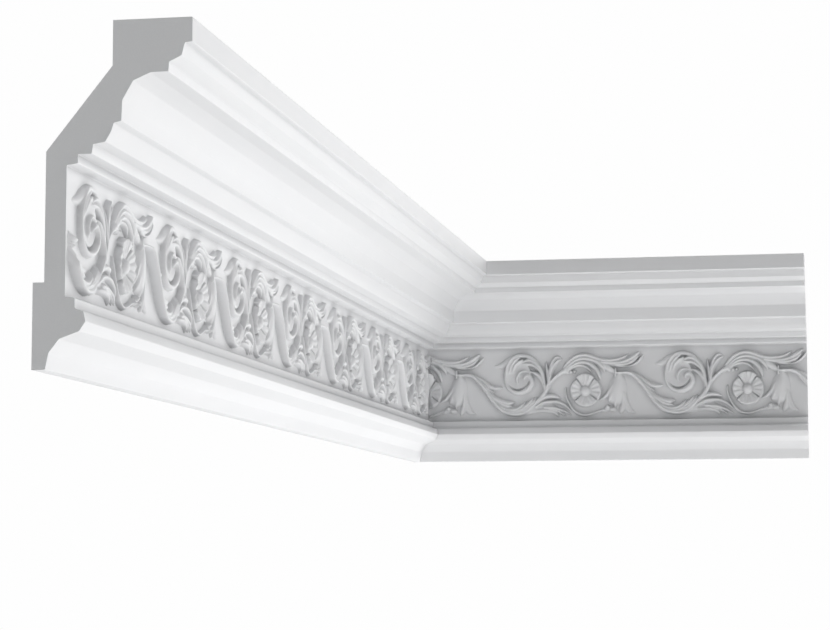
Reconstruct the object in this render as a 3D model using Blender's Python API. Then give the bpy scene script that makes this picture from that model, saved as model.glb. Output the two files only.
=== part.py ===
"""Ornamental cornice moulding: an inside corner of two mitred lengths with a carved scroll frieze.

A length is cast in one piece, so a length is one object. Both lengths share one section, drawn as
(out from the back plane, down from the top), and one frieze ornament, drawn as (along, up) over the
frieze ground. The left length runs along Y with its back on the plane X = 0, and the right length runs
along X with its back on the plane at the far end of the left one.
"""
import math

import bmesh
import bpy
import numpy as np
from mathutils import Vector

MM = 0.001

# Overall sizes
HEIGHT = 300
LEFT_LENGTH = 1774 * MM
RIGHT_LENGTH = 617 * MM
MITRE_GAP = 0.3 * MM

# Where the part's origin lies on the left length's back pad
ORIGIN_ALONG = 900 * MM
ORIGIN_DOWN = 262.5 * MM

# Section: the back of the top edge, the frieze's ground, the back pad and the chase behind the frieze
TOP_BACK = 68.5
FRIEZE_OUT, FRIEZE_TOP, FRIEZE_FOOT = 28.8, 124.8, 238
PAD_TOP = 225.2
CHASE_DEPTH, CHASE_TOP = 10.2, 112.4
BACK_SPLAY_TOP = 39.7

# The members of the face as (out from the back plane, down from the top), with the curved ones cut in flats
FASCIA = [(139, 0), (139, 21.5)]
TOP_OVOLO = [(132.4, 22), (129.8, 33), (118.6, 38.4)]
COVE = [(118.1, 46.6), (102.3, 46.8), (87, 53.4), (77.5, 70), (76.9, 87.9)]
MID_OVOLO = [(70.2, 89.4), (68, 96.7), (62.9, 105.5), (52, 107.3)]
STEPS = [(51, 115.5), (38.8, 115.5), (38.7, 123.4)]
FRIEZE = [(FRIEZE_OUT, FRIEZE_TOP), (FRIEZE_OUT, FRIEZE_FOOT)]
LEDGE = [(37.5, 239), (37.6, 248.3)]
NOSE = [(45.3, 250.5), (47.4, 259.4), (41.9, 267.6)]
OGEE = [(24.3, 273.8), (15, 285.5), (12, 300)]

# Frieze ornament, in millimetres along the run and up from the foot of the frieze
REPEAT = 250
FRIEZE_HEIGHT = 113
LEFT_PHASE = 85
RIGHT_PHASE = -60
CARVING_CELL = 2.2
CARVING_MARGIN = 1
CARVING_OVERRUN = 12
STOP_START, STOP_END = 11, 4
SUNK = 1.2
SLAB_DEPTH = 6
ROUNDNESS = 2.4

# How far the faces are thinned, and the sizes under which points are merged or faces dropped
CARVING_RATIO = 0.16
JOINED_RATIO = 0.4
DOUBLES = 0.01 * MM
SPECK = 0.08 * MM

# A stroke of the ornament is a smooth line of (along, up, half width, height) over the ground
SCROLL_STEM = [
    (14, 72.6, 2.8, 7), (36, 72, 3, 10.4), (49, 62, 3.6, 11.6), (64, 42.5, 3.6, 10.6),
    (79, 22.5, 3.6, 10.2), (99, 10.8, 3.6, 9.6), (121, 12.5, 3.6, 9), (139, 27.3, 3.6, 9),
    (153, 43, 4, 9.8), (160, 62, 3.2, 7.2)]
SCROLL_LEAF = [
    (40, 70, 3, 5), (60, 54, 5.4, 5.8), (75, 33, 6.4, 5.8), (98, 18, 6.6, 5.8), (122, 18, 4.8, 5.8)]
SCROLL_LOBES = [
    [(44, 68, 3, 6.6), (66, 54, 4.2, 6.8), (87, 52.5, 1, 3.6)],
    [(64, 46, 3.4, 6.8), (80, 31.5, 4.8, 7), (106, 29, 1, 3.6)],
    [(92, 17, 3.4, 7.2), (112, 19, 3.8, 7.4), (123.5, 30, 1.2, 3.6)],
    [(106, 13.5, 3.4, 7.4), (124, 24, 3.8, 7.4), (133, 37.5, 1.4, 3.6)]]
UPRIGHT_LEAF = [
    [(158, 55, 4, 6.2), (163, 74, 4.6, 6), (169, 89, 4.8, 6), (180, 96, 1.4, 4.5)],
    [(159, 58, 3.4, 6.2), (157, 76, 3.2, 5.6), (155.3, 93, 1, 4.4)]]
VOLUTE_RING = [
    (137, 94, 2.6, 5), (122, 101, 3.8, 6), (104, 97, 4.6, 6.2), (93, 80, 4, 6.2), (92, 61, 3.4, 6.2),
    (103, 45.5, 3.6, 6.5), (119, 46, 4.8, 8), (129.5, 55, 5.4, 8.6), (129, 67, 4.4, 8), (119, 70, 2.4, 6.5)]
VOLUTE_TIP = [(106, 98, 5, 6.8), (90, 88.5, 5.6, 6.2), (73, 85.8, 1, 1.8)]
VOLUTE_CURL = [(131, 74.5, 2.4, 5), (118, 76.5, 2.8, 6.2), (110, 68, 2.8, 6.3), (113, 55.5, 1.2, 5)]
CAP_LEAVES = [
    [(154, 48, 3.4, 7), (150, 72, 4.6, 6.6), (138, 89, 6, 6.8), (122, 90.5, 4.4, 6.4)],
    [(153, 52, 3.6, 6.8), (146, 67, 4.2, 6.5), (131.5, 76, 1.6, 6)]]
ARCH_STEM = [(155, 46, 2.8, 7.4), (165, 62.5, 2.8, 6.8), (177, 73.5, 3.4, 7), (192, 77, 4.6, 7.2)]
ARCH_LEAVES = [
    [(185, 82, 3, 5.5), (199.5, 96, 4.2, 6.5), (219, 100.3, 4.4, 6.5), (243, 92.5, 4.2, 6.2),
     (268, 93, 3.8, 6), (284, 102, 1.2, 4.4)],
    [(188, 79, 3.6, 5.8), (203, 92, 4.6, 6.3), (222, 93.5, 4.8, 6.3), (240, 84, 4.8, 6),
     (248, 73, 1.2, 4.4)],
    [(191, 77, 3.4, 5.5), (207, 86.5, 4, 6), (226, 84.5, 4.6, 6), (237, 72, 4.2, 5.6),
     (239.5, 61.5, 1.2, 4.4)]]
TAIL_LEAF = [(246, 88, 4.6, 5.6), (268, 86.5, 4.8, 6), (286, 92, 5, 6.2), (300, 103, 1.4, 5)]
TAIL_STRAND = [(268, 83, 1.8, 4.6), (290, 84, 2, 4.6), (306, 99.5, 1.1, 3.8)]
COLLAR = [(247, 84, 5, 5), (256, 78.5, 5.6, 6.2), (263, 74.8, 5, 6.8)]
BELL_BODY = [(19, 71, 5, 6.6), (18, 58, 11.5, 8.4), (15.5, 44, 16, 8.8), (14.5, 36, 14.5, 7.6)]
BELL_PETALS = [
    [(9, 54, 3.6, 6.8), (2, 42, 3.8, 6.2), (-12, 30.5, 1.2, 3.6)],
    [(10, 46, 4.2, 7.6), (6, 35, 4, 7), (3.2, 27.5, 1.4, 4.6)],
    [(16, 46, 5.2, 8.2), (14.5, 32, 5.2, 7.4), (12.4, 19, 1.6, 5)],
    [(25.5, 42, 3.6, 6.8), (25.4, 28, 4, 6.2), (23, 14, 4.6, 5.2)],
    [(28, 37, 3, 5), (30.5, 20, 5.2, 4.8), (43.5, 10.8, 1.2, 3)]]
TENDRIL = [
    (185.6, 50, 1.4, 4), (187.6, 33.5, 2, 5.2), (197, 16, 2.2, 5.6), (215, 7.4, 2.3, 5.6),
    (245.5, 15, 2.2, 5.2)]
LOW_LEAF_BODY = [(124, 12, 4.2, 5.2), (140, 18.5, 6.8, 5.4), (158, 21, 7.2, 5.2), (167, 18.5, 5, 4.8)]
LOW_LOBES = [
    [(135, 22, 3.2, 5.8), (150, 34, 4.4, 6.2), (164, 37, 4.4, 6), (178, 33.5, 1.2, 4.5)],
    [(150, 27, 3.6, 6), (172, 28, 3.4, 5.8), (195, 13.5, 1.3, 4)],
    [(158, 19, 3.4, 5.8), (177, 15.5, 3, 5.3), (194, 7.3, 1.2, 3.8)],
    [(150, 15, 3.8, 5.8), (165, 13.4, 3.6, 5.5), (174.5, 5, 1.2, 3.8)]]

# Beads, as (along, up, radius, height)
BEADS = [(1, 20, 3, 8.7), (8.5, 16, 3.4, 8.4), (-4.8, 14.8, 2.6, 8), (196, 74.6, 5, 6.8)]

# The flower: its centre, and each petal's direction, half angle in degrees and reach
FLOWER_AT = (215.6, 45)
PETALS = [(89.5, 35.5, 27.5), (174, 49, 23.8), (273, 50, 25.2), (8.5, 45.5, 25.5)]
PETAL_ROOT_HEIGHT, PETAL_RIM_RISE = 3.6, 4.2
PETAL_ROOT = 8
PETAL_GAP = 1.8
PETAL_EDGE = 2
PETAL_HOLLOW = 1.2
PETAL_POINTED = 0.07
BOSS_RADIUS, BOSS_HEIGHT = 8.6, 9.8

# The hollow face of the scroll
DISH_AT = (111, 71.5)
DISH_RADIUS = 21.5
DISH_STRETCH = 1.12
DISH_EDGE = 2
DISH_FLOOR, DISH_RISE = 2, 3.4
DISH_FLAT, DISH_SLOPE = 5, 16
DISH_HOLLOW = 1.4

LINE_STEPS = 5

# Finish
PRIMER_WHITE = (0.86, 0.86, 0.87, 1)
PRIMER_ROUGHNESS = 0.6
CREASE = 35


def section():
    """The section in millimetres, from the back of the top edge, over the face and up the back."""
    face = FASCIA + TOP_OVOLO + COVE + MID_OVOLO + STEPS + FRIEZE + LEDGE + NOSE + OGEE
    pad = [(0, HEIGHT), (0, PAD_TOP)]
    back = pad + [(CHASE_DEPTH, PAD_TOP), (CHASE_DEPTH, CHASE_TOP), (TOP_BACK, BACK_SPLAY_TOP)]
    return [(TOP_BACK, 0)] + face + back


def smooth_line(points):
    """A smooth line through the points, which carries the half width and the height along."""
    p = np.array(points, float)
    p = np.vstack([2 * p[0] - p[1], p, 2 * p[-1] - p[-2]])
    t = np.linspace(0, 1, LINE_STEPS, endpoint=False)[:, None]
    spans = []
    for a, b, c, d in zip(p[:-3], p[1:-2], p[2:-1], p[3:]):
        bend = (2 * a - 5 * b + 4 * c - d) * t ** 2 + (3 * b - a - 3 * c + d) * t ** 3
        spans.append(0.5 * (2 * b + (c - a) * t + bend))
    return np.vstack(spans + [p[-2:-1]])


def rounded(distance):
    """A dome's height, 1 in the middle and 0 from a distance of 1 outwards."""
    return np.sqrt(np.clip(1 - distance ** ROUNDNESS, 0, 1))


def swelling(distance):
    """A gentler dome, which meets the ground at a low angle."""
    return np.clip(1 - distance ** 2, 0, 1)


def raise_stroke(field, along, up, points, profile=rounded):
    """Raise the field to a stroke along the line with the given profile, in each repeat that it reaches."""
    line = smooth_line(points)
    reach = line[:, 2].max() + 1
    for shift in (-REPEAT, 0, REPEAT):
        x, y = line[:, 0] + shift, line[:, 1]
        near = (along > x.min() - reach) & (along < x.max() + reach)
        near &= (up > y.min() - reach) & (up < y.max() + reach)
        if not near.any():
            continue
        w, v, best = along[near], up[near], field[near]
        for i in range(len(x) - 1):
            dx, dy = x[i + 1] - x[i], y[i + 1] - y[i]
            part = np.clip(((w - x[i]) * dx + (v - y[i]) * dy) / (dx * dx + dy * dy), 0, 1)
            distance = np.hypot(w - x[i] - part * dx, v - y[i] - part * dy)
            half = line[i, 2] + part * (line[i + 1, 2] - line[i, 2])
            high = line[i, 3] + part * (line[i + 1, 3] - line[i, 3])
            best = np.maximum(best, high * profile(distance / half))
        field[near] = best


def raise_dish(field, along, up):
    """The hollow face of the scroll, which rises from the curl to the ring."""
    radius = np.hypot(along - DISH_AT[0], (up - DISH_AT[1]) / DISH_STRETCH)
    rise = np.clip((radius - DISH_FLAT) / DISH_SLOPE, 0, 1) ** DISH_HOLLOW
    edge = np.clip((DISH_RADIUS - radius) / DISH_EDGE, 0, 1)
    field[:] = np.maximum(field, (DISH_FLOOR + DISH_RISE * rise) * edge)


def raise_flower(field, along, up):
    """Four cupped petals round a domed boss."""
    for shift in (-REPEAT, 0, REPEAT):
        x, y = along - FLOWER_AT[0] - shift, up - FLOWER_AT[1]
        radius, angle = np.hypot(x, y), np.degrees(np.arctan2(y, x))
        for middle, half, reach in PETALS:
            turn = ((angle - middle + 180) % 360 - 180) / half
            gap = (1 - np.abs(turn)) * math.radians(half) * radius
            rim = reach * (1 - PETAL_POINTED * turn ** 4)
            rise = np.clip((radius - PETAL_ROOT) / (rim - PETAL_ROOT - PETAL_EDGE), 0, 1) ** PETAL_HOLLOW
            petal = (PETAL_ROOT_HEIGHT + PETAL_RIM_RISE * rise) * np.clip(gap / PETAL_GAP, 0, 1)
            petal = petal * np.clip((rim - radius) / PETAL_EDGE, 0, 1) * (np.abs(turn) < 1)
            field[:] = np.maximum(field, petal)
        field[:] = np.maximum(field, BOSS_HEIGHT * rounded(radius / BOSS_RADIUS))


def ornament(along, up):
    """Height of the frieze ornament over its ground, in millimetres."""
    along = np.mod(along, REPEAT)
    field = np.zeros(along.shape)
    raise_dish(field, along, up)
    raise_stroke(field, along, up, BELL_BODY, swelling)
    strokes = [SCROLL_STEM, SCROLL_LEAF, VOLUTE_RING, VOLUTE_TIP, VOLUTE_CURL, ARCH_STEM, TAIL_LEAF]
    strokes += [TAIL_STRAND, COLLAR, TENDRIL, LOW_LEAF_BODY]
    strokes += SCROLL_LOBES + UPRIGHT_LEAF + CAP_LEAVES + ARCH_LEAVES + BELL_PETALS + LOW_LOBES
    for points in strokes:
        raise_stroke(field, along, up, points)
    for w, v, radius, high in BEADS:
        for shift in (-REPEAT, 0, REPEAT):
            distance = np.hypot(along - w - shift, up - v) / radius
            field = np.maximum(field, high * rounded(distance))
    raise_flower(field, along, up)
    return field


def averaged_ornament(along, up):
    """The ornament averaged over a cell of the carving, so that its outlines keep their place."""
    total = np.zeros(along.shape)
    offsets = (-CARVING_CELL / 3, 0, CARVING_CELL / 3)
    for dw in offsets:
        for dv in offsets:
            total += ornament(along + dw, up + dv)
    return total / 9


def place_left(along, out, down):
    """A point of the left length, from its distance along the run, out from the back plane and down."""
    return Vector((out, ORIGIN_ALONG - along, ORIGIN_DOWN - down))


def place_right(along, out, down):
    """A point of the right length, in the same terms."""
    return Vector((along, ORIGIN_ALONG - out, ORIGIN_DOWN - down))


def new_object(name, mesh, collection):
    """An object for a mesh, in the given collection."""
    made = bpy.data.objects.new(name, mesh)
    collection.objects.link(made)
    return made


def baked_mesh(source):
    """The mesh that an object's modifiers or curve settings make, with its doubles merged."""
    graph = bpy.context.evaluated_depsgraph_get()
    graph.update()
    mesh = bpy.data.meshes.new_from_object(source.evaluated_get(graph))
    bm = bmesh.new()
    bm.from_mesh(mesh)
    bmesh.ops.remove_doubles(bm, verts=bm.verts, dist=DOUBLES)
    bm.to_mesh(mesh)
    bm.free()
    return mesh


def plain_length(name, length, collection):
    """The moulding without its ornament: the section drawn flat and extruded along the run."""
    curve = bpy.data.curves.new(name, "CURVE")
    curve.dimensions = "2D"
    curve.fill_mode = "BOTH"
    curve.extrude = length / 2
    outline = section()
    spline = curve.splines.new("POLY")
    spline.points.add(len(outline) - 1)
    for point, (out, down) in zip(spline.points, outline):
        point.co = (out * MM, -down * MM, 0, 1)
    spline.use_cyclic_u = True
    drawn = new_object(name, curve, collection)
    mesh = baked_mesh(drawn)
    bpy.data.objects.remove(drawn)
    return mesh


def carved_sheet(name, length, phase, direction, stopped, collection):
    """The frieze ornament as a sheet. A stopped one comes down to the ground before the square end."""
    start = -CARVING_OVERRUN
    end = length / MM + CARVING_OVERRUN
    columns = int((end - start) / CARVING_CELL)
    rows = int(FRIEZE_HEIGHT / CARVING_CELL)
    bm = bmesh.new()
    bmesh.ops.create_grid(bm, x_segments=columns, y_segments=rows, size=0.5)
    points = np.array([vert.co for vert in bm.verts])
    along = start + (points[:, 0] + 0.5) * (end - start)
    up = CARVING_MARGIN + (points[:, 1] + 0.5) * (FRIEZE_HEIGHT - 2 * CARVING_MARGIN)
    height = averaged_ornament(phase + direction * along, up)
    if stopped:
        height *= np.clip((length / MM - along - STOP_END) / (STOP_START - STOP_END), 0, 1)
    height -= SUNK
    for vert, w, v, h in zip(bm.verts, along, up, height):
        vert.co = (w * MM, v * MM, h * MM)
    mesh = bpy.data.meshes.new(name)
    bm.to_mesh(mesh)
    bm.free()
    sheet = new_object(name, mesh, collection)
    thin = sheet.modifiers.new("thin", "DECIMATE")
    thin.ratio = CARVING_RATIO
    mesh = baked_mesh(sheet)
    bpy.data.objects.remove(sheet)
    return mesh


def build_length(name, length, place, phase, direction, stopped, material, parts, guides):
    """One cast length: the plain moulding and its ornament, joined, mitred and cut square."""
    plain = plain_length(name + "_plain", length, guides)
    for vert in plain.vertices:
        out, down, along = vert.co.x, -vert.co.y, vert.co.z + length / 2
        vert.co = place(along, out, down)
    body = new_object(name, plain, parts)

    sheet = carved_sheet(name + "_carving", length, phase, direction, stopped, guides)
    bm = bmesh.new()
    bm.from_mesh(sheet)
    rim = [edge for edge in bm.edges if edge.is_boundary]
    skirt = bmesh.ops.extrude_edge_only(bm, edges=rim)["geom"]
    for item in skirt:
        if isinstance(item, bmesh.types.BMVert):
            item.co.z = -SLAB_DEPTH * MM
    bmesh.ops.holes_fill(bm, edges=[edge for edge in bm.edges if edge.is_boundary], sides=0)
    for vert in bm.verts:
        w, v, h = vert.co
        vert.co = place(w, FRIEZE_OUT * MM + h, FRIEZE_FOOT * MM - v)
    bmesh.ops.recalc_face_normals(bm, faces=bm.faces)
    bm.to_mesh(sheet)
    bm.free()
    carving = new_object(name + "_carving", sheet, guides)
    carving.hide_render = True
    carving.display_type = "WIRE"
    join = body.modifiers.new("join", "BOOLEAN")
    join.operation = "UNION"
    join.object = carving

    thin = body.modifiers.new("thin", "DECIMATE")
    thin.ratio = JOINED_RATIO
    joined = baked_mesh(body)
    body.modifiers.clear()
    body.data = joined
    corner = place(0, 0, 0)
    mitre_normal = place(1, -1, 0) - corner
    bm = bmesh.new()
    bm.from_mesh(joined)
    cuts = [(place(MITRE_GAP / 2 * math.sqrt(2), 0, 0), -mitre_normal)]
    cuts += [(place(length, 0, 0), place(1, 0, 0) - corner)]
    for point, normal in cuts:
        geometry = bm.verts[:] + bm.edges[:] + bm.faces[:]
        bmesh.ops.bisect_plane(bm, geom=geometry, plane_co=point, plane_no=normal, clear_outer=True)
        bmesh.ops.holes_fill(bm, edges=[edge for edge in bm.edges if edge.is_boundary], sides=0)
    bmesh.ops.dissolve_degenerate(bm, dist=SPECK, edges=bm.edges)
    bmesh.ops.recalc_face_normals(bm, faces=bm.faces)
    bmesh.ops.triangulate(bm, faces=bm.faces)
    bm.to_mesh(joined)
    bm.free()
    joined.shade_smooth()
    joined.set_sharp_from_angle(angle=math.radians(CREASE))
    joined.materials.clear()
    joined.materials.append(material)
    return body


def primed_foam(name):
    """White primer on moulded foam: matt, with a very slight sheen."""
    made = bpy.data.materials.new(name)
    made.use_nodes = True
    shader = made.node_tree.nodes["Principled BSDF"]
    shader.inputs["Base Color"].default_value = PRIMER_WHITE
    shader.inputs["Roughness"].default_value = PRIMER_ROUGHNESS
    shader.inputs["Metallic"].default_value = 0
    return made


def main():
    for old in list(bpy.data.objects):
        bpy.data.objects.remove(old, do_unlink=True)
    parts = bpy.data.collections.new("ornamental_cornice")
    guides = bpy.data.collections.new("guides")
    for collection in (parts, guides):
        bpy.context.scene.collection.children.link(collection)

    lengths = (
        ("left", LEFT_LENGTH, place_left, LEFT_PHASE, -1, True),
        ("right", RIGHT_LENGTH, place_right, RIGHT_PHASE, 1, False))
    for side, length, place, phase, direction, stopped in lengths:
        finish = primed_foam("primed_foam_" + side)
        name = "cornice_length_" + side
        build_length(name, length, place, phase, direction, stopped, finish, parts, guides)


main()
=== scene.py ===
"""Inside corner of an ornamental cornice: two mitred lengths of moulded polyurethane, primed white.

A stock length is modelled as it leaves the mould: X runs along it, its back lies on Y = 0, its face
looks along -Y and its top edge lies on Z = 0. The plain moulding is drawn as a section and pulled out.
One repeat of the frieze ornament is carved, copied along the run and joined to it. The length is then
sawn square and mitred, and turned into its place.
"""

import math

import bmesh
import bpy
import numpy as np
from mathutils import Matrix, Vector


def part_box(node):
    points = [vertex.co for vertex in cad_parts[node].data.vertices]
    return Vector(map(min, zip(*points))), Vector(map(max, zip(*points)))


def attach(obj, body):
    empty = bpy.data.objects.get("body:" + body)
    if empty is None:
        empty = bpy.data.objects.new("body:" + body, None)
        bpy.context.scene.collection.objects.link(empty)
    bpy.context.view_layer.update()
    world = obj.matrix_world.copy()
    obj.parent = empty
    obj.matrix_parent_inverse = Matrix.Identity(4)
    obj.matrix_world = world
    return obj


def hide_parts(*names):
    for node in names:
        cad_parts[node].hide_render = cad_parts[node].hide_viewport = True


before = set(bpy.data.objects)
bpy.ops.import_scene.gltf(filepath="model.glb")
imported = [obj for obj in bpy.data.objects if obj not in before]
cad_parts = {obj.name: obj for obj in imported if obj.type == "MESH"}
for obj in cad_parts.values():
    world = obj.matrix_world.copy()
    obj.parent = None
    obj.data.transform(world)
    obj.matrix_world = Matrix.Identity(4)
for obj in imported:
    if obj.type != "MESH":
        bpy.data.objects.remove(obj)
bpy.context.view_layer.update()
bpy.ops.object.select_all(action="DESELECT")

MM = 0.001

# Where the lengths lie, read from the frame
LEFT_LOW, LEFT_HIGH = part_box("cornice_length_left")
RIGHT_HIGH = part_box("cornice_length_right")[1]
BACK_X = LEFT_LOW.x
TOP_Z = LEFT_HIGH.z
CORNER_Y = round(RIGHT_HIGH.y, 4)
LEFT_RUN = CORNER_Y - LEFT_LOW.y
RIGHT_RUN = RIGHT_HIGH.x
MITRE_GAP = 0.3 * MM

# Section, in millimetres as (out from the back, down from the top). The curved members are cut in flats.
TOP_BACK = 68.5
FASCIA = [(139, 0), (139, 21.5)]
TOP_OVOLO = [(132.4, 22), (129.8, 33), (118.6, 38.4)]
COVE = [(118.1, 46.6), (102.3, 46.8), (87, 53.4), (77.5, 70), (76.9, 87.9)]
MID_OVOLO = [(70.2, 89.4), (68, 96.7), (62.9, 105.5), (52, 107.3)]
STEPS = [(51, 115.5), (38.8, 115.5), (38.7, 123.4)]
FRIEZE_OUT, FRIEZE_TOP, FRIEZE_FOOT = 28.8, 124.8, 238
FRIEZE = [(FRIEZE_OUT, FRIEZE_TOP), (FRIEZE_OUT, FRIEZE_FOOT)]
LEDGE = [(37.5, 239), (37.6, 248.3)]
NOSE = [(45.3, 250.5), (47.4, 259.4), (41.9, 267.6)]
OGEE = [(24.3, 273.8), (15, 285.5), (12, 300)]
PAD_TOP, CHASE_DEPTH, CHASE_TOP, BACK_SPLAY_TOP = 225.2, 10.2, 112.4, 39.7
PAD = [(0, 300), (0, PAD_TOP)]
CHASE = [(CHASE_DEPTH, PAD_TOP), (CHASE_DEPTH, CHASE_TOP), (TOP_BACK, BACK_SPLAY_TOP), (TOP_BACK, 0)]
UPPER_MEMBERS = FASCIA + TOP_OVOLO + COVE + MID_OVOLO + STEPS
LOWER_MEMBERS = LEDGE + NOSE + OGEE

# Edges of the face: how far they are rounded, from what angle on, and how narrow a face is shaded as round
ARRIS = 0.7
ARRIS_ANGLE = 10
SOFT_FACE = 3.5

# Frieze ornament, in millimetres along the run and up from the foot of the frieze
REPEAT = 250
FRIEZE_HEIGHT = 113
LEFT_PHASE, RIGHT_PHASE = 85, 60
CARVING_MARGIN = 1
STOP_START, STOP_END = 11, 4

# The carved slab: how far its ground is sunk, its depth behind that, and how far a run goes past its ends
SUNK = 0.5
SLAB_DEPTH = 8
OVERRUN = 12

# Sheet of one repeat: its grid, how many faces stay, the untouched band at its sides and its rounding off
COLUMNS, ROWS = 400, 180
KEPT_SHARE = 0.15
SIDE_BAND = 1.5
SOFTNESS = 0.55
SOFT_REACH = 3
CREASE = 60

# How near points are when they are merged, and when a saw cut counts them as on its plane
DOUBLES, MERGED, SAW_SLACK = 0.02, 0.01, 0.001
# The least area of a sawn face, in square millimetres, and the slack in telling which way a face looks
SAWN_AREA = 20
SQUARE_ON = 0.0001

REED, LEAF, SWELL = "reed", "leaf", "swell"

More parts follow.
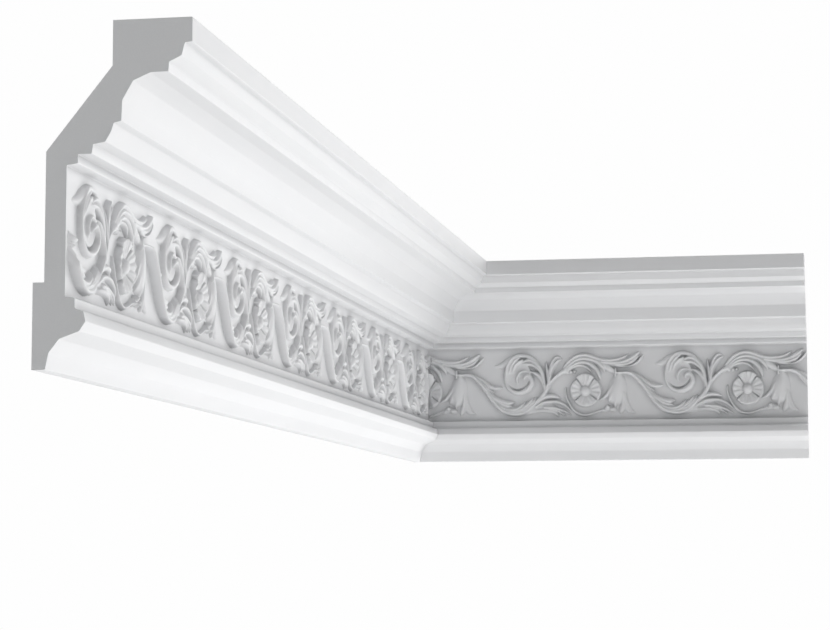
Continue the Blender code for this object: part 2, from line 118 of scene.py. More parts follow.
# Strokes of the ornament. Each is a smooth line of (along, up, half width, height).
ORNAMENT = {
    "scroll body": (REED, [
        (40, 70, 2.5, 3.1), (52, 61, 4.2, 3.4), (60, 52, 4.8, 3.4), (67, 42, 5.2, 3.4),
        (75, 32.5, 6, 3.4), (86, 24, 6.8, 3.4), (98, 18, 6.5, 3.4), (110, 15, 5.5, 3.4),
        (122, 17.5, 4.5, 3.4)]),
    "upright body": (REED, [
        (158, 55, 3.6, 3.4), (162, 70, 4, 3.2), (165.5, 83, 4.8, 3.1), (171, 92, 4.6, 3.1),
        (178, 96.5, 2, 2.5)]),
    "tail body": (REED, [
        (246, 90, 4.6, 3.1), (258, 89, 5, 3.1), (272, 89, 5, 3.1), (284, 92.5, 5.4, 3.1),
        (293, 98, 3.4, 2.9)]),
    "bell body": (SWELL, [
        (19, 71, 5, 6), (18.5, 62, 10, 7.4), (17, 52, 14, 8.2), (15.5, 43, 16, 8), (14.5, 36, 14.5, 7)]),
    "low body": (REED, [
        (124, 12, 4, 3.1), (137, 17, 6, 3.2), (148, 21, 7.6, 3.2), (158, 21.5, 7.2, 3.1),
        (167, 18.5, 5, 2.9)]),
    "spine": (REED, [
        (13.5, 72.4, 2, 6.5), (27, 72.8, 2.2, 8.2), (36, 72, 2.6, 10.2), (42, 69, 3, 11),
        (49, 62, 3.2, 11), (57, 52.5, 3.2, 10.8), (64, 42.5, 3.2, 10), (71, 32, 3.2, 9.8),
        (79, 22.5, 3.2, 9.6), (88.5, 14.8, 3.2, 9.2), (99, 10.8, 3.2, 8.6), (110, 9.8, 3.2, 7.8),
        (121.5, 12.5, 3.2, 7.2), (131.5, 20, 3.2, 6.8), (139, 27.3, 3, 6.8), (147, 35.5, 3.2, 7),
        (153.5, 43.5, 3.8, 7.4), (157.5, 52, 3.4, 6.8), (160, 62, 2.6, 5.8)]),
    "scroll leaf 1": (LEAF, [
        (40, 71, 2.5, 6), (51, 65.5, 3.5, 6.7), (60, 58.5, 4, 6.9), (68, 53, 4, 6.9), (77, 51, 3.4, 6.5),
        (87, 52.5, 0.7, 3)]),
    "scroll leaf 2": (LEAF, [(46, 65, 2.5, 6.5), (55, 57, 3, 7.1), (63, 50, 3, 7.3), (72, 45, 1.8, 6.5)]),
    "scroll leaf 3": (LEAF, [
        (60, 50, 3, 6.5), (68, 40.5, 4, 6.7), (77, 33.5, 4.5, 6.9), (90, 28.5, 4.5, 6.9),
        (98, 27.5, 4, 6.9), (106.5, 29, 0.7, 3)]),
    "scroll leaf 4": (LEAF, [
        (66, 42, 3, 6.5), (74, 34, 3.5, 7.3), (84, 27, 4, 7.3), (93, 23.5, 4, 7.1), (101, 21.5, 2, 6)]),
    "scroll leaf 5": (LEAF, [
        (76, 27, 2, 6.5), (88, 19.5, 3.4, 7.3), (100, 16.5, 3.7, 7.3), (110, 18, 3.6, 7.3),
        (118, 23.5, 3, 6.9), (123.5, 30, 0.8, 3)]),
    "scroll leaf 6": (LEAF, [
        (90, 15, 2.5, 6.5), (103, 13, 3, 7.3), (114, 16, 3.4, 7.4), (124, 23, 3.4, 7.3),
        (131, 29.5, 3, 7), (136, 36, 0.8, 3)]),
    "scroll leaf 7": (LEAF, [
        (108, 12, 2.5, 6.5), (121, 16.5, 3.2, 7), (130, 23.5, 3.4, 7), (136.5, 30.5, 2.6, 6.5),
        (139.5, 37, 0.8, 3)]),
    "upright leaf 1": (LEAF, [
        (156, 48, 3, 7.5), (160, 62, 3, 7.5), (162.8, 76, 3, 7), (168, 86.5, 2.8, 6.7),
        (174.5, 93, 2.4, 6.3), (181, 95, 0.7, 3)]),
    "upright leaf 2": (LEAF, [
        (160, 64, 2.2, 6.5), (161.5, 79, 2.8, 6.7), (165.5, 91, 3.2, 6.7), (171.5, 97.5, 2.8, 6.3),
        (177.5, 99, 1, 3)]),
    "upright leaf 3": (LEAF, [
        (159, 58, 3, 7), (157.6, 72, 3, 6.3), (156, 84, 2.4, 5.7), (155.3, 93, 0.7, 3)]),
    "volute rim": (REED, [
        (141, 90.5, 2, 4), (133, 97, 3.2, 5.5), (122, 101, 3.6, 6), (111, 100.7, 4, 6), (101.5, 95, 4, 6),
        (95, 85, 3.4, 6), (91.8, 73, 2.8, 6), (91.8, 62, 2.6, 6), (95.5, 52.5, 2.6, 6),
        (103.5, 45.5, 3, 6.3), (112.5, 43.5, 3.4, 7), (121, 45.5, 4.4, 8), (128.5, 51, 4.8, 8.6),
        (132.6, 58.8, 3.8, 8.5), (131.4, 66, 3.6, 8.2), (126.5, 70, 3.6, 7.8), (122, 67.5, 2.6, 7),
        (121, 64.5, 1.4, 5.5)]),
    "volute tip": (LEAF, [
        (108, 99, 4, 6), (98, 94, 5.6, 5.4), (89.5, 88.3, 5.4, 4.2), (81.5, 86, 3.8, 2.6),
        (73, 85.8, 0.6, 1)]),
    "volute vein 1": (REED, [
        (107, 101, 1.6, 6.6), (99.5, 94.5, 1.8, 7), (94.5, 86, 1.8, 6.8), (92, 78, 1.4, 6.4)]),
    "volute vein 2": (REED, [
        (113, 98, 2.2, 6.6), (105.5, 92.5, 2.4, 6.8), (100, 84, 2.4, 6.2), (97.5, 75, 1.6, 5.2)]),
    "volute vein 3": (REED, [
        (118, 94, 2.4, 6), (110.5, 90, 2.6, 6.2), (105, 83, 2.4, 5.6), (102.5, 75, 1.2, 3)]),
    "volute curl": (REED, [
        (131, 74.5, 2, 5), (121, 77, 2.3, 6), (113.5, 74, 2.4, 6.3), (109.8, 67, 2.3, 6.3),
        (110, 60.5, 1.9, 6), (113, 55, 0.8, 3)]),
    "cap leaf 1": (LEAF, [
        (154, 48, 3, 7.5), (152, 62, 3, 7), (150, 73, 3.2, 7.1), (144.5, 84, 3.5, 7.3),
        (136.5, 91.5, 3.6, 7.3), (128, 94, 3.6, 7.3), (121, 92, 3, 6.9)]),
    "cap leaf 2": (LEAF, [
        (152, 62, 3, 7), (147.5, 74, 3, 6.9), (141, 82, 3.4, 7.1), (133, 87, 3.4, 7.1),
        (125, 88, 3.2, 6.9), (119.5, 88, 2, 6.5)]),
    "cap leaf 3": (LEAF, [
        (153.5, 50, 3, 7.5), (151, 59, 3.4, 7.1), (146, 67, 3.8, 7), (139, 73.2, 3.6, 7),
        (131.3, 76.2, 1.2, 6.5)]),
    "arch stem": (REED, [
        (155, 46, 2.4, 7), (159, 54.5, 2.3, 6.5), (165, 62.5, 2.4, 6.2), (172, 69.4, 2.6, 6.2),
        (179, 74.3, 3.2, 6.4), (187, 78, 4.6, 6.6)]),
    "arch leaf 1": (LEAF, [
        (184, 82, 2.5, 5.5), (190.5, 90, 3.2, 6.5), (199.5, 97, 3.6, 7), (210, 100.8, 3.7, 7),
        (221, 100.3, 3.7, 7), (232, 96.5, 3.6, 6.8), (243, 93, 3.4, 6.5), (255, 92, 3.2, 6.5),
        (268, 93.5, 3, 6.5), (278, 97.5, 2.8, 6.2), (284, 102, 0.8, 3)]),
    "arch leaf 2": (LEAF, [
        (186, 80, 3, 6), (194, 87.5, 3.2, 6.5), (203.5, 93.5, 3.5, 6.8), (214, 95.5, 3.7, 6.8),
        (225, 94, 3.9, 6.8), (235, 90, 4, 6.7), (243, 83, 3.9, 6.5), (248, 73, 0.8, 3)]),
    "arch leaf 3": (LEAF, [
        (188, 78, 3, 6), (196, 84.5, 3.2, 6.5), (205, 88.8, 3.3, 6.5), (215, 89.5, 3.5, 6.5),
        (225, 86.5, 3.9, 6.5), (233, 79.5, 4, 6.3), (237.5, 71, 3.6, 6.1), (239.5, 61.5, 0.8, 3)]),
    "arch leaf 4": (LEAF, [
        (190, 77, 3, 5.5), (197, 82, 2.8, 6), (206, 84.8, 2.6, 6), (214, 84, 2.6, 6), (221, 80, 2.6, 5.8),
        (227.5, 72.5, 0.8, 3)]),
    "tail leaf 1": (LEAF, [
        (243, 89.5, 3, 6), (257, 88.3, 3.2, 6.3), (272, 89, 3.4, 6.5), (284, 92.5, 3.8, 6.5),
        (293, 98, 4.4, 6.4), (299.5, 103, 2.2, 6)]),
    "tail leaf 2": (LEAF, [
        (256, 87, 3, 6), (268, 85.5, 3, 6.1), (280, 86.3, 3, 6.2), (290, 90.4, 3.4, 6.2),
        (297.5, 96.8, 2.4, 5.6)]),
    "tail strand": (REED, [
        (264, 83.5, 1.6, 4.5), (275, 82, 1.6, 4.5), (286, 83, 1.6, 4.6), (295, 87, 1.8, 4.8),
        (302, 93.4, 1.8, 4.8), (306, 99.5, 0.8, 3.6)]),
    "collar": (REED, [(247, 84, 4.6, 5), (255, 79, 4.8, 5.2), (260.5, 75.5, 4, 4.6)]),
    "collar rim": (REED, [(264, 79, 1.5, 7.5), (263.5, 68, 1.5, 7.5)]),
    "bell petal 1": (LEAF, [
        (9, 54, 3.4, 6.2), (4, 44, 3.8, 5.8), (-4, 34.5, 3.2, 5), (-12, 30.5, 0.9, 3)]),
    "bell petal 2": (LEAF, [
        (10.5, 46, 4.4, 7), (7.5, 38, 4.4, 6.8), (5, 32, 3.6, 6), (3.2, 27.5, 1.2, 3)]),
    "bell petal 3": (LEAF, [
        (16, 46, 5.2, 7.6), (15, 36, 5.4, 7.2), (14, 28, 4.8, 6.4), (12.4, 19, 1.2, 3)]),
    "bell petal 4": (LEAF, [
        (25.5, 42, 3.4, 6.2), (25.6, 33, 3.6, 5.8), (25, 24, 4, 5.2), (23.6, 17, 4.6, 4.8),
        (21.5, 12.5, 3.6, 4.4)]),
    "bell petal 5": (LEAF, [
        (28, 38, 2.8, 4.4), (28.8, 28, 4, 4.4), (31, 20, 5.2, 4.2), (35, 14.5, 4.2, 3.8),
        (43.5, 10.8, 0.9, 2.6)]),
    "tendril": (REED, [
        (185.6, 50.5, 0.9, 3.8), (185.6, 42, 1.5, 4.8), (187.6, 33.5, 1.8, 5.2), (191.8, 24.7, 1.9, 5.6),
        (198, 15.5, 2.1, 5.6), (206, 9.5, 2.1, 5.6), (216, 7.3, 2.1, 5.6), (227, 9.5, 2, 5.2),
        (237, 13.2, 1.9, 5.2), (245.5, 15, 1.9, 5.2)]),
    "berry bed": (REED, [(-6, 14.5, 3.4, 4.4), (3, 17.5, 4.2, 4.8), (12, 15.5, 3.4, 4.4)]),
    "low leaf 1": (LEAF, [
        (131, 19, 2.5, 6), (141, 28, 3.2, 6.5), (151, 34.8, 4, 6.7), (161, 37.6, 4.4, 6.7),
        (170, 36.6, 3.6, 6.3), (178, 33.5, 0.9, 3)]),
    "low leaf 2": (LEAF, [
        (139, 21, 2.5, 6.1), (150, 27, 3.4, 6.5), (161, 29, 3.2, 6.3), (172, 28.5, 3.2, 6.3),
        (181, 25.5, 2.9, 5.9), (188.5, 20, 2.3, 5.5), (195, 13.5, 0.9, 3)]),
    "low leaf 3": (LEAF, [
        (152, 20, 3, 6.3), (164, 19.5, 3.2, 6.3), (174, 17.5, 2.9, 5.9), (184, 13.5, 2.3, 5.5),
        (195, 7.3, 0.8, 3)]),
    "low leaf 4": (LEAF, [
        (142, 15, 3, 6), (156, 15.2, 3.6, 6.3), (165.5, 13.6, 3.4, 6), (171, 10, 2.8, 5.5),
        (174.5, 5, 0.8, 3)]),
    "low leaf 5": (LEAF, [
        (160, 17.5, 2.5, 5.9), (171, 15, 2.4, 5.7), (179, 11, 2, 5.3), (187, 6.6, 0.8, 3)]),
}
LINE_STEPS = 8
THINNEST = 0.2
REED_FULLNESS = 2.4
# A leaf falls by this share from its midrib to its edge, along this curve, and drops over the edge's width
LEAF_FALL, LEAF_CURVE = 0.6, 1.4
LEAF_EDGE, LEAF_EDGE_CURVE = 1, 0.6

# Berries by the bellflower and on the arch stem, as (along, up, radius, height)
BERRIES = (
    (1, 20, 2.8, 8), (7, 15.5, 2.6, 7.8), (11, 16.5, 2, 7), (-4.8, 14.8, 2.2, 7.4),
    (189, 74.6, 2.6, 6.6), (194.6, 74.4, 2.5, 6.2), (200, 75.2, 2.3, 5.6))

# The flower: its centre, and each petal's direction, half angle in degrees and reach
FLOWER_AT = (216.4, 45)
PETALS = ((89.5, 35.5, 27.5), (174, 49, 23.8), (273, 50, 25.2), (8.5, 45.5, 25.5))
PETAL_POINTED = 0.07
PETAL_ROOT, PETAL_ROOT_HEIGHT, PETAL_RISE = 8, 3.6, 4.2
PETAL_HOLLOW, PETAL_LIP = 1.2, 2
PETAL_EDGE, PETAL_EDGE_CURVE = 1.8, 0.5
PETAL_GAP, PETAL_GAP_CURVE = 1.6, 0.6
FLUTES, FLUTE_DEPTH, FLUTE_START = 2, 0.7, 6
HEART_RADIUS, HEART_FLOOR, HEART_RISE = 10.4, 2.6, 1.4
BOSS_RADIUS, BOSS_HEIGHT, BOSS_FULLNESS = 8.4, 8.6, 2.2

# The hollow face of the volute
DISH_AT = (111, 71.5)
DISH_RADIUS, DISH_STRETCH = 21.5, 1.12
DISH_FLOOR, DISH_RISE, DISH_CURVE = 2, 3.4, 1.4
DISH_FLAT, DISH_SLOPE, DISH_EDGE = 5, 16, 2

# Finishes, with sizes in millimetres
PRIMER_TONES = ("#D7D8DA", "#DBDBDC")
PRIMER_SHEEN = (0.5, 0.62)
PRIMER_IOR = 1.48
PEEL_SIZE, CLOUD_SIZE = 1.6, 90
# Painted shade in the hollows of the carving: its grey tone, how near the sides stand, and how open the
# places are
PAINTED_SHADE_TONE = "#A3A4A6"
PAINTED_SHADE_REACH = 12
DARKEST_OPENING, UNSHADED_OPENING = 0.25, 0.9
FOAM_TONES = ("#D5D6D8", "#D9DADB")
FOAM_ROUGHNESS, CELL_ROUGHNESS = 0.8, 0.15
CELL_SIZE, SAW_SWAY = 1.2, 18.85
# Radians that a wave texture's bands run through in one unit at scale 1
WAVE_RADIANS = 20
SURFACE_DEPTH = 0.05
FLOOR_TONES = ("#EFEFEE", "#F2F2F2")


def linear(hex_colour):
    """A linear colour from an sRGB hex value."""
    channels = [int(hex_colour[i:i + 2], 16) / 255 for i in (1, 3, 5)]
    return (*[c / 12.92 if c <= 0.04045 else ((c + 0.055) / 1.055) ** 2.4 for c in channels], 1)


def add_node(tree, kind, settings=None, values=None, links=None):
    """Add a node with its settings, its input values and the sockets that feed it."""
    node = tree.nodes.new(kind)
    for name, value in (settings or {}).items():
        setattr(node, name, value)
    for name, value in (values or {}).items():
        node.inputs[name].default_value = value
    for name, socket in (links or {}).items():
        tree.links.new(socket, node.inputs[name])
    return node


def new_material(name):
    """An empty node material and its shader."""
    made = bpy.data.materials.new(name)
    made.use_nodes = True
    return made, made.node_tree, made.node_tree.nodes["Principled BSDF"]


def mixed_tones(tree, tones, share):
    """The colour between two tones, by a socket's share of the second."""
    mix = add_node(tree, "ShaderNodeMix", {"data_type": "RGBA"}, links={"Factor": share})
    mix.inputs["A"].default_value = linear(tones[0])
    mix.inputs["B"].default_value = linear(tones[1])
    return mix.outputs["Result"]


def primed_polyurethane():
    """Moulded rigid polyurethane with a factory coat of white primer.

    The coat is matt with a broad soft sheen. It has the faint orange peel of a sprayed coat, about 0.8 mm
    across and drawn at 1.6 mm so that it shows, and it clouds slightly over a hand's breadth. Shade is
    painted into the hollows of the carving: the colour turns grey where the sides stand near.
    """
    made, tree, shader = new_material("primed_polyurethane")
    place = add_node(tree, "ShaderNodeTexCoord").outputs["Object"]
    peel = add_node(tree, "ShaderNodeTexNoise", links={"Vector": place},
                    values={"Scale": 1 / (PEEL_SIZE * MM), "Detail": 2, "Roughness": 0.5})
    cloud = add_node(tree, "ShaderNodeTexNoise", links={"Vector": place},
                     values={"Scale": 1 / (CLOUD_SIZE * MM), "Detail": 3, "Roughness": 0.55})
    tone = mixed_tones(tree, PRIMER_TONES, cloud.outputs["Fac"])
    # Painted shade: ambient occlusion mixes the base colour towards a grey tone where the carving closes
    # round a point
    hollow = add_node(tree, "ShaderNodeAmbientOcclusion", {"samples": 12, "only_local": True},
                      {"Distance": PAINTED_SHADE_REACH * MM})
    unshaded_share = add_node(tree, "ShaderNodeMapRange", links={"Value": hollow.outputs["AO"]},
                     values={"From Min": DARKEST_OPENING, "From Max": UNSHADED_OPENING})
    coat = add_node(tree, "ShaderNodeMix", {"data_type": "RGBA"}, links={"Factor": unshaded_share.outputs["Result"]})
    coat.inputs["A"].default_value = linear(PAINTED_SHADE_TONE)
    tree.links.new(tone, coat.inputs["B"])
    tree.links.new(coat.outputs["Result"], shader.inputs["Base Color"])
    matt = add_node(tree, "ShaderNodeMapRange", links={"Value": peel.outputs["Fac"]},
                    values={"To Min": PRIMER_SHEEN[0], "To Max": PRIMER_SHEEN[1]})
    tree.links.new(matt.outputs["Result"], shader.inputs["Roughness"])
    bump = add_node(tree, "ShaderNodeBump", links={"Height": peel.outputs["Fac"]},
                    values={"Strength": 0.25, "Distance": SURFACE_DEPTH * MM})
    tree.links.new(bump.outputs["Normal"], shader.inputs["Normal"])
    shader.inputs["IOR"].default_value = PRIMER_IOR
    return made


def sawn_foam():
    """Sawn face of dense polyurethane foam: dull grey, with fine closed cells and the saw's faint sway.

    The cells are about 0.3 mm and are drawn at 1.2 mm so that they show. The saw sways every 19 mm or so.
    """
    made, tree, shader = new_material("sawn_foam")
    place = add_node(tree, "ShaderNodeTexCoord").outputs["Object"]
    cells = add_node(tree, "ShaderNodeTexVoronoi", values={"Scale": 1 / (CELL_SIZE * MM)},
                     links={"Vector": place})
    saw_scale = 2 * math.pi / (WAVE_RADIANS * SAW_SWAY * MM)
    lines = add_node(tree, "ShaderNodeTexWave", {"bands_direction": "Z"}, links={"Vector": place},
                     values={"Scale": saw_scale, "Distortion": 1.5, "Detail": 2})
    tree.links.new(mixed_tones(tree, FOAM_TONES, cells.outputs["Distance"]), shader.inputs["Base Color"])
    rough = add_node(tree, "ShaderNodeMath", {"operation": "MULTIPLY_ADD"},
                     {1: CELL_ROUGHNESS, 2: FOAM_ROUGHNESS}, {0: cells.outputs["Distance"]})
    tree.links.new(rough.outputs["Value"], shader.inputs["Roughness"])
    depth = add_node(tree, "ShaderNodeMath", {"operation": "ADD"},
                     links={0: cells.outputs["Distance"], 1: lines.outputs["Fac"]})
    bump = add_node(tree, "ShaderNodeBump", links={"Height": depth.outputs["Value"]},
                    values={"Strength": 0.2, "Distance": SURFACE_DEPTH * MM})
    tree.links.new(bump.outputs["Normal"], shader.inputs["Normal"])
    return made


def pale_floor():
    """Smooth painted floor, pale and dull, with a slight unevenness of tone."""
    made, tree, shader = new_material("pale_floor_paint")
    place = add_node(tree, "ShaderNodeTexCoord").outputs["Object"]
    cloud = add_node(tree, "ShaderNodeTexNoise", values={"Scale": 0.6}, links={"Vector": place})
    tree.links.new(mixed_tones(tree, FLOOR_TONES, cloud.outputs["Fac"]), shader.inputs["Base Color"])
    shader.inputs["Roughness"].default_value = 0.9
    return made


def smooth_line(points):
    """A smooth line through the points, which carries the half width and the height along."""
    p = np.array(points, float)
    p = np.vstack([2 * p[0] - p[1], p, 2 * p[-1] - p[-2]])
    t = np.linspace(0, 1, LINE_STEPS, endpoint=False)[:, None]
    spans = []
    for a, b, c, d in zip(p[:-3], p[1:-2], p[2:-1], p[3:]):
        bend = (2 * a - 5 * b + 4 * c - d) * t ** 2 + (3 * b - a - 3 * c + d) * t ** 3
        spans.append(0.5 * (2 * b + (c - a) * t + bend))
    return np.vstack(spans + [p[-2:-1]])


def dome(distance, fullness):
    """1 in the middle of a rounded form and 0 from its edge outwards."""
    return np.sqrt(np.clip(1 - distance ** fullness, 0, 1))


def across(form, distance, half, high):
    """The height of a stroke at a distance from its line: round, ridged like a leaf, or gently swelling."""
    if form == REED:
        return high * dome(distance / half, REED_FULLNESS)
    if form == SWELL:
        return high * (1 - (distance / half) ** 2)
    ridge = 1 - LEAF_FALL * (distance / half) ** LEAF_CURVE
    return high * ridge * np.clip((half - distance) / LEAF_EDGE, 0, 1) ** LEAF_EDGE_CURVE


def raise_stroke(field, along, up, form, points):
    """Raise the field to a stroke of the ornament, in each repeat that the stroke reaches."""
    line = smooth_line(points)
    reach = line[:, 2].max() + 1
    for shift in (-REPEAT, 0, REPEAT):
        x, y = line[:, 0] + shift, line[:, 1]
        near = (along > x.min() - reach) & (along < x.max() + reach)
        near &= (up > y.min() - reach) & (up < y.max() + reach)
        if not near.any():
            continue
        w, v, best = along[near], up[near], field[near]
        for i in range(len(x) - 1):
            dx, dy = x[i + 1] - x[i], y[i + 1] - y[i]
            part = np.clip(((w - x[i]) * dx + (v - y[i]) * dy) / (dx * dx + dy * dy), 0, 1)
            distance = np.hypot(w - x[i] - part * dx, v - y[i] - part * dy)
            half = np.maximum(line[i, 2] + part * (line[i + 1, 2] - line[i, 2]), THINNEST)
            high = line[i, 3] + part * (line[i + 1, 3] - line[i, 3])
            raised = np.maximum(best, across(form, distance, half, high))
            best = np.where(distance < half, raised, best)
        field[near] = best


def raise_dish(field, along, up):
    """The hollow face of the volute, which rises from the curl to the rim."""
    radius = np.hypot(along - DISH_AT[0], (up - DISH_AT[1]) / DISH_STRETCH)
    rise = np.clip((radius - DISH_FLAT) / DISH_SLOPE, 0, 1) ** DISH_CURVE
    edge = np.clip((DISH_RADIUS - radius) / DISH_EDGE, 0, 1)
    field[:] = np.maximum(field, (DISH_FLOOR + DISH_RISE * rise) * edge)


def raise_flower(field, along, up):
    """Four cupped and fluted petals round a domed boss."""
    x, y = along - FLOWER_AT[0], up - FLOWER_AT[1]
    radius, angle = np.hypot(x, y), np.degrees(np.arctan2(y, x))
    for middle, half, reach in PETALS:
        turn = ((angle - middle + 180) % 360 - 180) / half
        gap = (1 - np.abs(turn)) * math.radians(half) * radius
        rim = reach * (1 - PETAL_POINTED * turn ** 4)
        out = radius - PETAL_ROOT
        rise = np.clip(out / (rim - PETAL_ROOT - PETAL_LIP), 0, 1) ** PETAL_HOLLOW
        petal = PETAL_ROOT_HEIGHT + PETAL_RISE * rise
        petal += FLUTE_DEPTH * np.cos(2 * math.pi * FLUTES * turn) * np.clip(out / FLUTE_START, 0, 1)
        petal *= np.clip((rim - radius) / PETAL_EDGE, 0, 1) ** PETAL_EDGE_CURVE
        petal *= np.clip(gap / PETAL_GAP, 0, 1) ** PETAL_GAP_CURVE
        field[:] = np.where((np.abs(turn) < 1) & (radius < rim), np.maximum(field, petal), field)
    heart = radius < HEART_RADIUS
    floor = HEART_FLOOR + HEART_RISE * np.clip((radius - PETAL_ROOT) / (HEART_RADIUS - PETAL_ROOT), 0, 1)
    field[heart] = np.minimum(field, floor)[heart]
    field[:] = np.maximum(field, BOSS_HEIGHT * dome(radius / BOSS_RADIUS, BOSS_FULLNESS))


def soften(field, cells):
    """Round the carving off, as the mould's rubber and the primer do. The columns go round the repeat."""
    steps = np.arange(-SOFT_REACH, SOFT_REACH + 1)
    weights = np.exp(-0.5 * (steps / cells) ** 2)
    weights /= weights.sum()
    for axis in (0, 1):
        field = sum(weight * np.roll(field, step, axis) for step, weight in zip(steps, weights))
    return field


def ornament(along, up):
    """Height of one repeat of the ornament over the frieze ground, in millimetres."""
    field = np.zeros(along.shape)
    raise_dish(field, along, up)
    for form, points in ORNAMENT.values():
        raise_stroke(field, along, up, form, points)
    for w, v, radius, high in BERRIES:
        for shift in (-REPEAT, 0, REPEAT):
            distance = np.hypot(along - w - shift, up - v) / radius
            bead = high - radius * (1 - dome(distance, 2))
            field = np.where(distance < 1, np.maximum(field, bead), field)
    raise_flower(field, along, up)
    return soften(field, SOFTNESS * COLUMNS / REPEAT)


def only(piece):
    """Make one object the active one and the only one selected."""
    bpy.ops.object.select_all(action="DESELECT")
    piece.select_set(True)
    bpy.context.view_layer.objects.active = piece


def apply_modifier(piece, kind, **settings):
    """Add a modifier with its settings and apply it."""
    only(piece)
    made = piece.modifiers.new(kind.lower(), kind)
    for name, value in settings.items():
        setattr(made, name, value)
    bpy.ops.object.modifier_apply(modifier=made.name)


def select_by(piece, kind, test):
    """In edit mode, select the edges or faces that pass a test, and nothing else."""
    bpy.ops.mesh.select_mode(type="EDGE" if kind == "edges" else "FACE")
    bpy.ops.mesh.select_all(action="DESELECT")
    bm = bmesh.from_edit_mesh(piece.data)
    for item in getattr(bm, kind):
        if test(item):
            item.select_set(True)
    bm.select_flush_mode()
    bmesh.update_edit_mesh(piece.data)


class Pen:
    """A point that is led round the section, in millimetres out from the back and down from the top."""

    def __init__(self, x, out, down):
        self.x, self.out, self.down = x, out, down
        bpy.ops.mesh.primitive_plane_add(size=1 * MM, location=(x, -out * MM, -down * MM))
        bpy.ops.object.transform_apply(location=True, rotation=False, scale=False)
        bpy.ops.object.mode_set(mode="EDIT")
        bpy.ops.mesh.select_mode(type="VERT")
        bpy.ops.mesh.select_all(action="SELECT")
        bpy.ops.mesh.merge(type="CENTER")

    def line_to(self, out, down):
        """A straight side of the section."""
        move = (0, -(out - self.out) * MM, -(down - self.down) * MM)
        bpy.ops.mesh.extrude_vertices_move(TRANSFORM_OT_translate={"value": move})
        self.out, self.down = out, down


def plain_moulding(start, end):
    """The moulding without its ornament, from one place along the run to another, in metres."""
    pen = Pen(start, TOP_BACK, 0)
    for out, down in UPPER_MEMBERS + FRIEZE + LOWER_MEMBERS + PAD + CHASE:
        pen.line_to(out, down)
    bpy.ops.mesh.select_all(action="SELECT")
    bpy.ops.mesh.remove_doubles(threshold=DOUBLES * MM)
    bpy.ops.mesh.edge_face_add()
    bpy.ops.mesh.extrude_region_move(TRANSFORM_OT_translate={"value": (end - start, 0, 0)})
    bpy.ops.mesh.select_all(action="SELECT")
    bpy.ops.mesh.normals_make_consistent(inside=False)
    piece = bpy.context.object
    soften_arrises(piece)
    bpy.ops.object.mode_set(mode="OBJECT")
    for side in piece.data.polygons:
        side.use_smooth = face_width(side) < SOFT_FACE * MM
    return piece


def face_width(side):
    """How wide a long narrow face is across the run."""
    points = np.array([side.id_data.vertices[i].co[1:] for i in side.vertices])
    return np.linalg.norm(points.max(0) - points.min(0))


def soften_arrises(piece):
    """Round the sharp edges of the face slightly, as moulded ones are, and leave the back's sharp."""
    def moulded(edge):
        if len(edge.link_faces) != 2 or edge.calc_face_angle() < math.radians(ARRIS_ANGLE):
            return False
        first, second = edge.verts
        runs_along = abs(first.co.x - second.co.x) > MM
        out = -first.co.y / MM
        return runs_along and out > CHASE_DEPTH + 1 and abs(out - TOP_BACK) > 1

    select_by(piece, "edges", moulded)
    bpy.ops.mesh.bevel(offset=ARRIS * MM, segments=2, profile=0.5, affect="EDGES", clamp_overlap=True)


def carved_repeat():
    """One repeat of the ornament as a sheet. Its two sides are kept as they are, so that copies join on."""
    high = FRIEZE_HEIGHT - 2 * CARVING_MARGIN
    middle = (REPEAT / 2 * MM, -FRIEZE_OUT * MM, -(FRIEZE_FOOT - FRIEZE_HEIGHT / 2) * MM)
    bpy.ops.mesh.primitive_grid_add(x_subdivisions=COLUMNS, y_subdivisions=ROWS, size=1,
                                    location=middle, rotation=(math.pi / 2, 0, 0))
    sheet = bpy.context.object
    sheet.scale = (REPEAT * MM, high * MM, 1)
    bpy.ops.object.transform_apply(location=True, rotation=True, scale=True)
    mesh = sheet.data
    points = np.empty(len(mesh.vertices) * 3, np.float32)
    mesh.vertices.foreach_get("co", points)
    points = points.reshape(ROWS + 1, COLUMNS + 1, 3)
    along = points[:, :-1, 0] / MM
    up = points[:, :-1, 2] / MM + FRIEZE_FOOT
    height = ornament(along, up)
    height = np.hstack([height, height[:, :1]]) - SUNK
    points[:, :, 1] = -(FRIEZE_OUT + height) * MM
    mesh.vertices.foreach_set("co", points.ravel())

    bpy.ops.object.mode_set(mode="EDIT")
    inner = (SIDE_BAND * MM, (REPEAT - SIDE_BAND) * MM)
    select_by(sheet, "faces", lambda face: inner[0] < face.calc_center_median().x < inner[1])
    bpy.ops.mesh.decimate(ratio=KEPT_SHARE)
    bpy.ops.object.mode_set(mode="OBJECT")
    return sheet


def stop_ornament(slab, end, far_side):
    """Bring the ornament down to the ground before a square end of the run."""
    for vert in slab.data.vertices:
        left = (end - vert.co.x) * far_side / MM
        share = min(max((left - STOP_END) / (STOP_START - STOP_END), 0), 1)
        height = -vert.co.y / MM - FRIEZE_OUT + SUNK
        vert.co.y = -(FRIEZE_OUT + height * share - SUNK) * MM


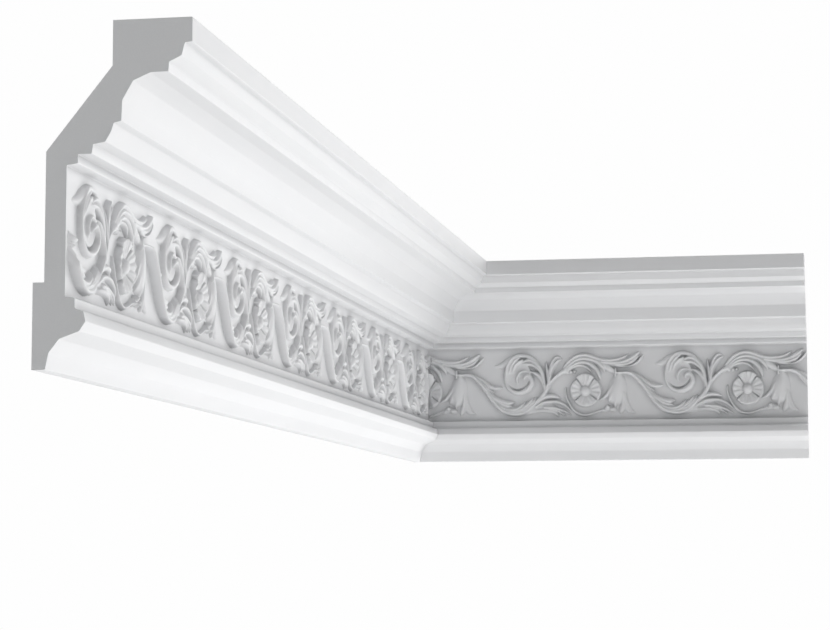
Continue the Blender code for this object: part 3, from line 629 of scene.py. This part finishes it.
def carved_slab(sheet, first, count, stop):
    """Copies of the repeat in a row, as a closed slab that stands through the frieze ground.

    stop says where the ornament comes to an end and which way the run goes, or is None where it runs on.
    """
    only(sheet)
    bpy.ops.object.duplicate()
    slab = bpy.context.object
    slab.location.x = first
    bpy.ops.object.transform_apply(location=True, rotation=False, scale=False)
    apply_modifier(slab, "ARRAY", count=count, use_relative_offset=False, use_constant_offset=True,
                   constant_offset_displace=(REPEAT * MM, 0, 0), use_merge_vertices=True,
                   merge_threshold=MERGED * MM)
    if stop:
        stop_ornament(slab, *stop)

    bpy.ops.object.mode_set(mode="EDIT")
    bpy.ops.mesh.select_mode(type="EDGE")
    bpy.ops.mesh.select_all(action="DESELECT")
    bpy.ops.mesh.select_non_manifold()
    back = -(FRIEZE_OUT - SLAB_DEPTH) * MM
    bpy.ops.mesh.extrude_region_move(TRANSFORM_OT_translate={"value": (0, SLAB_DEPTH * MM, 0)})
    bpy.ops.transform.resize(value=(1, 0, 1), center_override=(0, back, 0))
    bpy.ops.mesh.edge_face_add()
    bpy.ops.mesh.select_all(action="SELECT")
    bpy.ops.mesh.normals_make_consistent(inside=False)
    bpy.ops.object.mode_set(mode="OBJECT")
    bpy.ops.object.shade_smooth()
    return slab


def saw(piece, place, towards):
    """Cut a length flat through a place, keep what is behind the cut and close it."""
    only(piece)
    bpy.ops.object.mode_set(mode="EDIT")
    bpy.ops.mesh.select_all(action="SELECT")
    bpy.ops.mesh.bisect(plane_co=place, plane_no=towards, use_fill=True, clear_outer=True,
                        threshold=SAW_SLACK * MM)
    bpy.ops.object.mode_set(mode="OBJECT")


def moulded_length(name, sheet, run, phase_at_corner, far_side, stopped, finishes):
    """One length in its stock position: moulded, carved, mitred and sawn square.

    far_side is 1 where the run leaves the corner along +X, and -1 where it leaves it along -X. A repeat's
    start lies phase_at_corner millimetres along the run from the corner. A stopped ornament ends short of
    the square end.
    """
    corner = -phase_at_corner * MM * far_side
    ends = sorted((corner - far_side * OVERRUN * MM, corner + far_side * (run + OVERRUN * MM)))
    piece = plain_moulding(ends[0], ends[1])
    piece.name = name
    first = math.floor((ends[0] + MM) / (REPEAT * MM)) * REPEAT * MM
    count = math.ceil((ends[1] - MM - first) / (REPEAT * MM))
    square_end = corner + far_side * run
    slab = carved_slab(sheet, first, count, (square_end, far_side) if stopped else None)
    apply_modifier(piece, "BOOLEAN", operation="UNION", solver="MANIFOLD", object=slab)
    bpy.data.objects.remove(slab)

    saw(piece, (square_end, 0, 0), (far_side, 0, 0))
    mitre_start = (corner + far_side * MITRE_GAP / 2 * math.sqrt(2), 0, 0)
    saw(piece, mitre_start, (-far_side, -1, 0))
    piece.data.set_sharp_from_angle(angle=math.radians(CREASE))
    piece.data.materials.clear()
    for finish in finishes:
        piece.data.materials.append(finish)
    sawn = (Vector((far_side, 0, 0)), Vector((-far_side, -1, 0)).normalized())
    for side in piece.data.polygons:
        square_on = any(side.normal.dot(way) > 1 - SQUARE_ON for way in sawn)
        cut = square_on and side.area > SAWN_AREA * MM ** 2
        side.material_index = 1 if cut else 0
        if cut or abs(side.normal.y) > 1 - SQUARE_ON:
            side.use_smooth = False
    return piece


def set_in_place(piece, move, quarter_turn):
    """Turn a stock length about the upright axis and move it to its place."""
    only(piece)
    piece.rotation_euler = (0, 0, math.pi / 2 if quarter_turn else 0)
    piece.location = move
    bpy.ops.object.transform_apply(location=True, rotation=True, scale=True)


def build_cornice():
    """Both lengths, each in place of its solid."""
    finishes = (primed_polyurethane(), sawn_foam())
    sheet = carved_repeat()
    left = moulded_length("left_moulded_length", sheet, LEFT_RUN, LEFT_PHASE, -1, True, finishes)
    set_in_place(left, (BACK_X, CORNER_Y - LEFT_PHASE * MM, TOP_Z), True)
    right = moulded_length("right_moulded_length", sheet, RIGHT_RUN, RIGHT_PHASE, 1, False, finishes)
    set_in_place(right, (BACK_X + RIGHT_PHASE * MM, CORNER_Y, TOP_Z), False)
    bpy.data.objects.remove(sheet)
    for piece, node in ((left, "cornice_length_left"), (right, "cornice_length_right")):
        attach(piece, "root")
        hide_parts(node)


# The photograph's camera, worked out from the section and both runs
CAMERA_AT = (0.6863, -2.7821, -0.2063)
CAMERA_TILT, CAMERA_ROLL, CAMERA_TURN = 96.145, 0.06, 10.54
LENS, SENSOR = 102.56, 36
FAR_CLIP = 1000

# Studio. Softboxes stand low and point up at the cornice, as (place, watts).
FLOOR_DOWN = 2.5
FLOOR_SIZE = 40
AMBIENT = 0.1
SOFTBOX_SIZE = 1.6
SOFTBOXES = {
    "right_softbox": ((1.5, 0.2, -2.1), 17),
    "near_softbox": ((0.6, 0.1, -2.1), 8),
    "far_softbox": ((1.706, 3.047, -1.379), 27),
}
LIT_SPOT = Vector((0.12, 0.3, 0.1))
# Broad daylight, as (degrees round from +X, degrees up, strength)
DAYLIGHT_SPREAD = 30
DAYLIGHT = {
    "overhead_daylight": (0, 90, 2.15),
    "rear_daylight": (60, 5, 1),
    "right_daylight": (15, 20, 0.5),
    "front_daylight": (-45, 5, 0.42),
    "high_daylight": (-60, 65, 0.35),
}


def set_up_camera():
    """The camera stands where the photograph was taken from."""
    bpy.ops.object.camera_add(location=CAMERA_AT)
    camera = bpy.context.object
    camera.rotation_euler = [math.radians(angle) for angle in (CAMERA_TILT, CAMERA_ROLL, CAMERA_TURN)]
    camera.data.lens = LENS
    camera.data.sensor_width = SENSOR
    camera.data.sensor_fit = "HORIZONTAL"
    camera.data.clip_end = FAR_CLIP
    bpy.context.scene.camera = camera


def set_up_studio():
    """A pale floor well below the cornice, soft lamps and an even pale surround."""
    bpy.ops.mesh.primitive_plane_add(size=FLOOR_SIZE, location=(0, 0, TOP_Z - FLOOR_DOWN))
    floor = bpy.context.object
    floor.name = "studio_floor"
    floor.data.materials.append(pale_floor())

    for name, (place, power) in SOFTBOXES.items():
        bpy.ops.object.light_add(type="AREA", location=place)
        lamp = bpy.context.object
        lamp.name = name
        lamp.data.size = SOFTBOX_SIZE
        lamp.data.energy = power
        lamp.rotation_euler = (LIT_SPOT - Vector(place)).to_track_quat("-Z", "Y").to_euler()
        lamp.visible_camera = False

    for name, (round_from_x, up, strength) in DAYLIGHT.items():
        bpy.ops.object.light_add(type="SUN", location=LIT_SPOT)
        lamp = bpy.context.object
        lamp.name = name
        lamp.data.angle = math.radians(DAYLIGHT_SPREAD)
        lamp.data.energy = strength
        lamp.rotation_euler = (0, math.radians(90 - up), math.radians(round_from_x))

    world = bpy.data.worlds.new("studio_surround")
    bpy.context.scene.world = world
    world.use_nodes = True
    tree = world.node_tree
    tree.nodes.clear()
    seen = add_node(tree, "ShaderNodeLightPath").outputs["Is Camera Ray"]
    light = add_node(tree, "ShaderNodeBackground", values={"Color": linear("#FFFFFF"), "Strength": AMBIENT})
    shown = add_node(tree, "ShaderNodeBackground", values={"Color": linear("#FEFEFE"), "Strength": 1})
    both = add_node(tree, "ShaderNodeMixShader", links={0: seen, 1: light.outputs[0], 2: shown.outputs[0]})
    add_node(tree, "ShaderNodeOutputWorld", links={"Surface": both.outputs[0]})
    bpy.context.scene.view_settings.view_transform = "Standard"


set_up_camera()
build_cornice()
set_up_studio()
